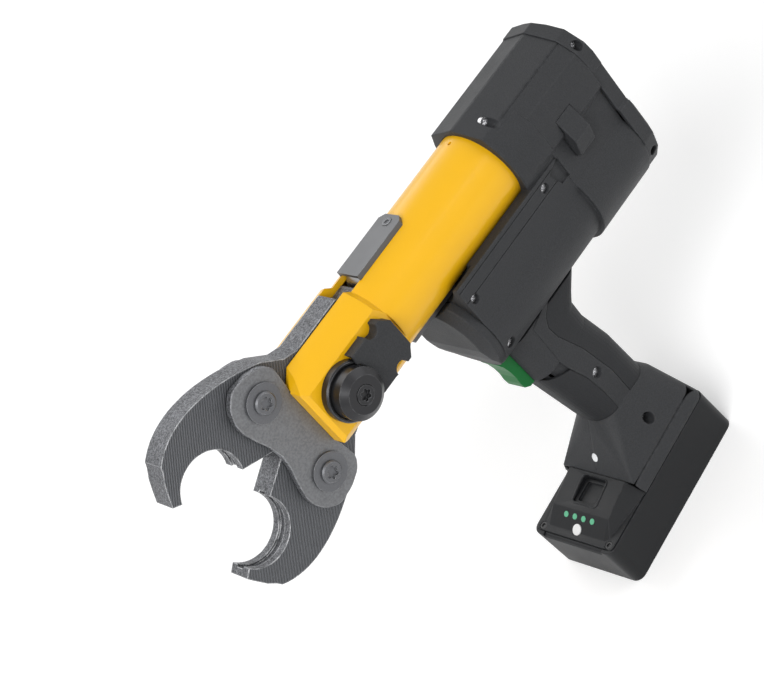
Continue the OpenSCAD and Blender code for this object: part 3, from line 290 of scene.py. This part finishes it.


# The depth over which a finish's gaps and hollows darken is painted shade.
LOOKS = {
    # Each edge colour is partly wear and partly a painted highlight; the soft grip's is a dark
    # outline.
    "yellow_paint": dict(
        colour="f9bd10", rough=0.34, spec=0.3, coat=0.2, spread=0.03, grain=0.1, grain_scale=600,
        edge=0.0006, edge_wear_and_shading=0.2, edge_wear_and_shading_colour="ffd75e", painted_shade_depth=0.002),
    "grey_paint": dict(
        colour="5e5f61", rough=0.42, metal=0.5, spread=0.07, grain=0.12, edge=0.0003, edge_wear_and_shading=0.6,
        edge_wear_and_shading_colour="c4c5c8"),
    "jaw_steel": dict(
        colour="37383a", rough=0.46, metal=0.75, spread=0.3, tone_scale=90, grain=0.5, lines=0.9,
        rim="5c5d60", rim_bump=1.0, edge=0.0011, edge_wear_and_shading=1.0, edge_wear_and_shading_colour="e2e3e5"),
    "plate_steel": dict(
        colour="6c6d6f", rough=0.48, metal=0.75, spread=0.25, tone_scale=260, grain=0.6,
        grain_scale=700, fleck=0.3, rim="6c6d70", rim_bump=0.5, edge=0.0009, edge_wear_and_shading=0.9,
        edge_wear_and_shading_colour="c2c3c5"),
    "ground_steel": dict(colour="a2a3a5", rough=0.26, metal=0.95, grain=0.05),
    "dark_screw": dict(
        colour="626366", rough=0.42, metal=0.75, spread=0.12, grain=0.3, fleck=0.12, edge_wear_and_shading=0.9,
        edge_wear_and_shading_colour="b4b5b7"),
    "black_steel": dict(
        colour="2c2c2e", rough=0.3, metal=0.55, spread=0.1, grain=0.15, edge=0.0006, edge_wear_and_shading=0.7,
        edge_wear_and_shading_colour="8c8d8f"),
    "screw_steel": dict(colour="e2e2e4", rough=0.22, metal=0.95, grain=0.03, edge=0.0002),
    "black_plastic": dict(
        colour="1a1a1c", rough=0.38, spec=0.35, spread=0.08, grain=0.2, grain_scale=1000,
        edge_wear_and_shading=0.2, edge_wear_and_shading_colour="4a4a4c"),
    "housing_plastic": dict(
        colour="2c2d2f", rough=0.56, spec=0.28, spread=0.1, grain=0.9, grain_scale=1300,
        fleck=0.35, edge=0.0018, edge_wear_and_shading=0.25, edge_wear_and_shading_colour="6a6b6e", painted_shade_depth=0.004),
    "soft_grip": dict(
        colour="252628", rough=0.62, spec=0.26, spread=0.08, grain=0.8, grain_scale=1500,
        fleck=0.3, edge=0.0007, edge_wear_and_shading=1.0, edge_wear_and_shading_colour="060607", even_edge_tone=True),
    "green_plastic": dict(
        colour="006429", rough=0.42, spec=0.25, grain=0.2, grain_scale=1200, edge=0.0009,
        edge_wear_and_shading=0.2, edge_wear_and_shading_colour="2a9a58"),
    "battery_plastic": dict(
        colour="1c1d1f", rough=0.46, spec=0.22, spread=0.08, grain=0.5, grain_scale=1500,
        fleck=0.1, edge=0.0012, edge_wear_and_shading=0.4, edge_wear_and_shading_colour="58595c", painted_shade_depth=0.003),
    "lens": dict(colour="f4f6f8", rough=0.1, spread=0.01, edge=0.0002),
    "lamp_green": dict(colour="5fb58c", rough=0.3, spread=0.02, edge=0.0002),
    "white_plastic": dict(colour="ececec", rough=0.35, spread=0.01, edge=0.0003),
    "alloy": dict(colour="77787b", rough=0.45, metal=0.8, grain=0.3),
    "copper_core": dict(colour="9c6b3c", rough=0.4, metal=0.8, grain=0.2),
    "board_green": dict(colour="1f5a34", rough=0.4, grain=0.1),
    "cell_blue": dict(colour="3a6ea5", rough=0.35, grain=0.05),
}
FINISH = {name: surface(name, **look) for name, look in LOOKS.items()}

# Nodes whose finish differs from the rest of their slot
OWN_FINISH = {
    "bolt_cap": "black_steel", "bolt_collars": "black_steel", "cap_screw": "black_steel",
    # The battery's screws take black plastic so that their pockets show as black holes: painted
    # shade.
    "battery_screws": "black_plastic", "bolt_catch": "housing_plastic",
}

SHARP = math.radians(28)
slots = {s["node"]: s["material_slot"] for s in frame["record"]["subparts"]}
for name, obj in frame["nodes"].items():
    obj.data.materials.clear()
    obj.data.materials.append(FINISH[OWN_FINISH.get(name, slots[name])])
    obj.data.set_sharp_from_angle(angle=SHARP)


# Making pieces

# Points nearer than this, in metres, are one point, and faces that turn less than this are one
SAME_POINT = 1e-6
JOIN_ANGLE = math.radians(0.6)
# The small round of sharp edges
ROUND_ANGLE = math.radians(30)
ROUND_STEPS = 2
# The large round of a corner in an outline
CORNER_STEPS = 5


def linked(name, data):
    """A new object in the scene."""
    obj = bpy.data.objects.new(name, data)
    bpy.context.scene.collection.objects.link(obj)
    return obj


def placed(name, bm, material, body, node=None):
    """A finished piece from a bmesh, on its body, in place of a CAD node if one is named."""
    mesh = bpy.data.meshes.new(name)
    bm.to_mesh(mesh)
    bm.free()
    mesh.materials.append(FINISH[material])
    for face in mesh.polygons:
        face.use_smooth = True
    mesh.set_sharp_from_angle(angle=SHARP)
    obj = linked(name, mesh)
    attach(obj, body)
    if node:
        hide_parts(node)
    return obj


def rounded(obj, width):
    """Flat faces joined, then a small round, its width in millimetres, on every sharp edge."""
    flat = obj.modifiers.new("flat", "DECIMATE")
    flat.decimate_type = "DISSOLVE"
    flat.angle_limit = JOIN_ANGLE
    bevel = obj.modifiers.new("round", "BEVEL")
    bevel.width = width * MM
    bevel.segments = ROUND_STEPS
    bevel.limit_method = "ANGLE"
    bevel.angle_limit = ROUND_ANGLE
    bevel.use_clamp_overlap = True
    bevel.harden_normals = True


def node_bmesh(node):
    """A bmesh of a CAD node."""
    bm = bmesh.new()
    bm.from_mesh(frame["nodes"][node].data)
    return bm


def joined_faces(node):
    """A bmesh of a CAD node with its flat faces joined."""
    bm = node_bmesh(node)
    bmesh.ops.remove_doubles(bm, verts=bm.verts, dist=SAME_POINT)
    bmesh.ops.dissolve_limit(bm, angle_limit=JOIN_ANGLE, verts=bm.verts, edges=bm.edges)
    return bm


def corner_bevel(bm, edges, radius, clamp):
    """Rounds edges by a radius in millimetres, with clamp where they might overlap."""
    bmesh.ops.bevel(bm, geom=edges, offset=radius * MM, segments=CORNER_STEPS, profile=0.5,
                    affect="EDGES", clamp_overlap=clamp)


def skinned(rings, capped):
    """A closed bmesh over rings of points, with capped ends or else joined end to start."""
    bm = bmesh.new()
    loops = [[bm.verts.new(point) for point in ring] for ring in rings]
    for a, b in zip(loops, loops[1:] if capped else loops[1:] + loops[:1]):
        for k in range(len(a)):
            n = (k + 1) % len(a)
            bm.faces.new((a[k], a[n], b[n], b[k]))
    if capped:
        bm.faces.new(loops[0])
        bm.faces.new(loops[-1])
    bmesh.ops.recalc_face_normals(bm, faces=bm.faces)
    return bm


# Tongs. Tool frame, millimetres

# The tip of each jaw tapers more than the solid does: from a CAD corner to the finished one
JAW_TIP = (
    ((-278.0, 54.6), (-276.3, 53.9)), ((-288.7, 49.0), (-280.4, 48.2)),
    ((-291.0, 42.8), (-283.9, 41.0)), ((-288.3, 34.6), (-286.7, 34.8)),
)
CORNER_REACH = 0.6
TONGS_ROUND = 0.7

# The link plates' outward corners that turn by an angle in this range are rounded
PLATE_TURNS = (16.0, 62.0)
PLATE_CORNER_R = 3.0
# An edge across a plate is at least this long, and its ends differ no more than this in X and Z
ACROSS_LEAST = 2.0
ACROSS_SLANT = 0.05


def tapered_jaw(node, body, side):
    """A jaw with its tip drawn in; side is 1 for the upper jaw and -1 for the lower."""
    bm = node_bmesh(node)
    for v in bm.verts:
        x, z = tool_xz(v.co)
        for (cad_x, cad_z), (new_x, new_z) in JAW_TIP:
            if math.hypot(x - cad_x, z * side - cad_z) < CORNER_REACH:
                v.co = row_pt(new_x, v.co.y / MM, new_z * side)
    rounded(placed("finished_" + node, bm, "jaw_steel", body, node), TONGS_ROUND)


def link_plate(node):
    """A link plate with the outward corners of its outline rounded."""
    bm = joined_faces(node)
    corners = []
    for edge in bm.edges:
        a, b = (v.co / MM for v in edge.verts)
        slant = math.hypot(a.x - b.x, a.z - b.z)
        if len(edge.link_faces) == 2 and abs(a.y - b.y) > ACROSS_LEAST and slant < ACROSS_SLANT:
            turn = math.degrees(edge.calc_face_angle_signed(0.0))
            if PLATE_TURNS[0] < turn < PLATE_TURNS[1]:
                corners.append(edge)
    corner_bevel(bm, corners, PLATE_CORNER_R, True)
    rounded(placed("finished_" + node, bm, "plate_steel", "head", node), TONGS_ROUND)


tapered_jaw("upper_jaw", "jaw_upper", 1)
tapered_jaw("lower_jaw", "jaw_lower", -1)
link_plate("link_plate_near")
link_plate("link_plate_far")

# Release button in the battery's hood. Row frame, millimetres

# The opening: front, rear, half its width and the radius of its corners
OPENING = (-36.4, -17.4, 11.0, 2.2)
# The outer line of the lip around it, and the lip's height over the hood's face
LIP = (-37.7, -16.9, 12.3, 3.4)
LIP_HIGH = 0.35
LIP_LOW = -0.3
LIP_ROUND = 0.2
LIP_CORNER_STEPS = 6
HOOD_ROUND = 0.5
# The corners of the button and of its dish, on one side
BUTTON_CORNERS = ((-36.1, 10.7), (-17.7, 10.7), (-34.6, 8.4), (-20.0, 8.4))
BUTTON_CORNER_R = 1.8
BUTTON_ROUND = 0.3
# An upright edge's ends differ no more than this in X and Y, and it's this near to its corner
UPRIGHT_SLANT = 0.02
UPRIGHT_REACH = 0.1
# The hood's upper face: a point on it, and its rise to the rear
HOOD_X, HOOD_Z, HOOD_SLOPE = -41.7, 42.6, 0.1404


def corner_rounded(node, body, corners, radius, width):
    """A battery node with its upright edges at the corners rounded; width is its small round."""
    bm = joined_faces(node)
    upright = []
    for edge in bm.edges:
        a, b = (v.co / MM for v in edge.verts)
        if math.hypot(a.x - b.x, a.y - b.y) < UPRIGHT_SLANT:
            if any(math.hypot(a.x - x, abs(a.y) - y) < UPRIGHT_REACH for x, y in corners):
                upright.append(edge)
    corner_bevel(bm, upright, radius, False)
    rounded(placed("finished_" + node, bm, "battery_plastic", body, node), width)


def round_rect(x0, x1, half, radius):
    """Points around a rectangle with round corners, from -half to half across."""
    points = []
    for cx, cy, start in ((x1 - radius, half - radius, 0), (x0 + radius, half - radius, 90),
                          (x0 + radius, radius - half, 180), (x1 - radius, radius - half, 270)):
        for i in range(LIP_CORNER_STEPS + 1):
            a = math.radians(start + 90 * i / LIP_CORNER_STEPS)
            points.append((cx + radius * math.cos(a), cy + radius * math.sin(a)))
    return points


def release_lip():
    """The moulded lip around the opening."""
    rings = []
    for outline, rise in ((OPENING, LIP_LOW), (OPENING, LIP_HIGH), (LIP, LIP_HIGH), (LIP, LIP_LOW)):
        rings.append([Vector((x, y, HOOD_Z + HOOD_SLOPE * (x - HOOD_X) + rise)) * MM
                      for x, y in round_rect(*outline)])
    bm = skinned(rings, capped=False)
    rounded(placed("battery_release_lip", bm, "battery_plastic", "battery"), LIP_ROUND)


front, rear, half, radius = OPENING
corner_rounded("battery_top", "battery", ((front, half), (rear, half)), radius, HOOD_ROUND)
corner_rounded("release_button", "release_body", BUTTON_CORNERS, BUTTON_CORNER_R, BUTTON_ROUND)

# CAD nodes that get a small round alone, and its width
SMALL_ROUNDS = {
    "head_fork": 0.6, "battery_case": 0.9, "rear_cover": 0.9, "motor_cap": 0.7,
    "reset_button": 0.8, "trigger": 1.2, "bolt_catch": 0.5, "cover_strips": 0.3,
}
for name, width in SMALL_ROUNDS.items():
    rounded(frame["nodes"][name], width)

# Swell of the collar. Tool frame, millimetres

SWELL_X = (1.0, 27.4)
SWELL_STEPS = 14
SWELL_THICK = 1.2
SWELL_PROUD = 0.04
# Half the collar's width at its front, and how much that grows over the collar's length
COLLAR_HALF = 33.0
COLLAR_GROWTH = 4.6
COLLAR_L = 81.0
# Half the width of the rear block
BLOCK_HALF = 37.64
# The section's top and the share of the flank's growth that it follows
CROWN_HALF = 24.5
CROWN_Z = 24.3
CROWN_SHARE = 0.32
CROWN_PROUD = 0.03
# The flank from the shoulder down: how far inside the full width, and the height
SHOULDER_IN = 3.4
CHEST_IN = 1.5
FLANK = ((SHOULDER_IN, 17.5), (CHEST_IN, 11.6), (0.0, 6.0), (0.0, -1.5), (0.0, -9.0))
LOW_Z = -13.5
LOW_DRAWN_IN = 2.4


def collar_swell(name, side):
    """A moulded swell that carries the collar's side out to the full width of the rear block."""
    front_x, rear_x = SWELL_X
    rings = []
    for i in range(SWELL_STEPS + 1):
        t = i / SWELL_STEPS
        x = front_x + (rear_x - front_x) * t
        cad = COLLAR_HALF + COLLAR_GROWTH * x / COLLAR_L
        wide = cad + (BLOCK_HALF - cad) * (t * t * (3 - 2 * t)) + SWELL_PROUD
        crown = CROWN_HALF + (wide - SHOULDER_IN - CROWN_HALF) * CROWN_SHARE + CROWN_PROUD
        low = wide - CHEST_IN - LOW_DRAWN_IN * t
        outer = [(crown, CROWN_Z)] + [(wide - inside, z) for inside, z in FLANK] + [(low, LOW_Z)]
        inner = [(y - SWELL_THICK, z) for y, z in reversed(outer)]
        rings.append([row_pt(x, side * y, z) for y, z in outer + inner])
    placed(name, skinned(rings, capped=True), "housing_plastic", "machine")


collar_swell("collar_swell_near", -1)
collar_swell("collar_swell_far", 1)

# Bar between the two front screws of the battery. Row frame, millimetres

BAR_X = (-62.3, -59.35)
BAR_Z = (29.6, 34.6)
BAR_HALF = 27.8
BAR_R = 2.4
BAR_STEPS = 8
BAR_ROUND = 0.4


def ledge_bar():
    """The bar that covers the gap under the hood's front ledge, with a round upper edge."""
    (x0, x1), (z0, z1) = BAR_X, BAR_Z
    section = [(x1, z0), (x0, z0)]
    for i in range(BAR_STEPS + 1):
        a = math.pi - i * math.pi / 2 / BAR_STEPS
        section.append((x0 + BAR_R + BAR_R * math.cos(a), z1 - BAR_R + BAR_R * math.sin(a)))
    section.append((x1, z1))
    ends = [[Vector((x, y, z)) * MM for x, z in section] for y in (-BAR_HALF, BAR_HALF)]
    bm = skinned(ends, capped=True)
    rounded(placed("battery_ledge_bar", bm, "battery_plastic", "battery"), BAR_ROUND)


ledge_bar()
release_lip()

# Stage

WHITE = (1.0, 1.0, 1.0, 1.0)
FLOOR_HALF = 6.0
FLOOR_COLOUR = (0.82, 0.82, 0.82, 1.0)
# The floor's own light near the tool and far off, and the distances between which it grows
FLOOR_LIFT = 0.18
FAR_LIFT = 0.6
LIFT_SPAN = (0.5, 3.0)
SKY_STRENGTH = 0.42
# What the lamps look at, and each lamp's place, size in metres and power in watts
LAMP_TARGET = (-0.05, 0, 0.2)
LAMPS = {
    "key": ((-1.5, -1.3, 2.2), 1.4, 46),
    "fill": ((1.9, -1.5, 1.1), 1.8, 12),
    "back": ((0.4, 2.2, 1.8), 1.8, 20),
}


def shown_ray(nt):
    """1 for rays that show the backdrop, straight, mirrored or through glass, and 0 for others."""
    path = add(nt, "ShaderNodeLightPath").outputs
    straight = math_node(nt, "MAXIMUM", path["Is Camera Ray"], path["Is Glossy Ray"])
    return math_node(nt, "MAXIMUM", straight, path["Is Transmission Ray"])


def stage_floor():
    """The pale floor, which keeps the tool's shadow and fades to white far off."""
    mesh = bpy.data.meshes.new("floor")
    h = FLOOR_HALF
    mesh.from_pydata([(-h, -h, 0), (h, -h, 0), (h, h, 0), (-h, h, 0)], [], [(0, 1, 2, 3)])
    floor = linked("floor", mesh)
    m, nt, bsdf = new_material("floor")
    shown = shown_ray(nt)
    nt.links.new(mixed(nt, shown, FLOOR_COLOUR, WHITE), bsdf.inputs["Base Color"])
    away = add(nt, "ShaderNodeVectorMath", operation="LENGTH")
    nt.links.new(add(nt, "ShaderNodeTexCoord").outputs["Object"], away.inputs[0])
    lift = ranged(nt, away.outputs["Value"], *LIFT_SPAN, FLOOR_LIFT, FAR_LIFT)
    nt.links.new(math_node(nt, "MULTIPLY", shown, lift), bsdf.inputs["Emission Strength"])
    bsdf.inputs["Emission Color"].default_value = WHITE
    bsdf.inputs["Roughness"].default_value = 1.0
    bsdf.inputs["Specular IOR Level"].default_value = 0.0
    mesh.materials.append(m)


def soft_light(name, place, width, power):
    """A square area light that looks at the tool."""
    data = bpy.data.lights.new(name, "AREA")
    data.size = width
    data.energy = power
    lamp = linked(name, data)
    lamp.location = place
    ahead = Vector(LAMP_TARGET) - Vector(place)
    lamp.rotation_euler = ahead.to_track_quat("-Z", "Y").to_euler()


def pale_world():
    """Even light on the tool, and white where the world itself is seen."""
    world = bpy.data.worlds.new("world")
    world.use_nodes = True
    nt = world.node_tree
    sky = nt.nodes["Background"]
    sky.inputs["Color"].default_value = WHITE
    sky.inputs["Strength"].default_value = SKY_STRENGTH
    white = add(nt, "ShaderNodeBackground", Color=WHITE, Strength=1.0)
    blend = add(nt, "ShaderNodeMixShader")
    nt.links.new(shown_ray(nt), blend.inputs["Fac"])
    nt.links.new(sky.outputs["Background"], blend.inputs[1])
    nt.links.new(white.outputs["Background"], blend.inputs[2])
    nt.links.new(blend.outputs["Shader"], nt.nodes["World Output"].inputs["Surface"])
    bpy.context.scene.world = world


stage_floor()
for name, lamp in LAMPS.items():
    soft_light(name, *lamp)
pale_world()
bpy.context.scene.view_settings.view_transform = "Standard"

# Camera, fitted to the photograph. Tool frame, millimetres

CAM_AT = (-498.459, -982.727, 654.622)
CAM_RIGHT = (0.567377, -0.601146, -0.562373)
CAM_DOWN = (-0.766038, -0.134686, -0.628689)
CAM_AHEAD = (0.301604, 0.787035, -0.537229)
IMAGE_W = 764
FOCAL_PX = 2085.9
SENSOR = 36.0
CLIP_END = 30.0

cam_data = bpy.data.cameras.new("camera")
cam_data.sensor_width = SENSOR
cam_data.lens = FOCAL_PX / IMAGE_W * SENSOR
cam_data.clip_end = CLIP_END
camera = linked("camera", cam_data)
right, down, ahead = (row_dir(*v) for v in (CAM_RIGHT, CAM_DOWN, CAM_AHEAD))
turn = Matrix((right, -down, -ahead)).transposed().to_4x4()
camera.matrix_world = Matrix.Translation(row_pt(*CAM_AT)) @ turn
bpy.context.scene.camera = camera
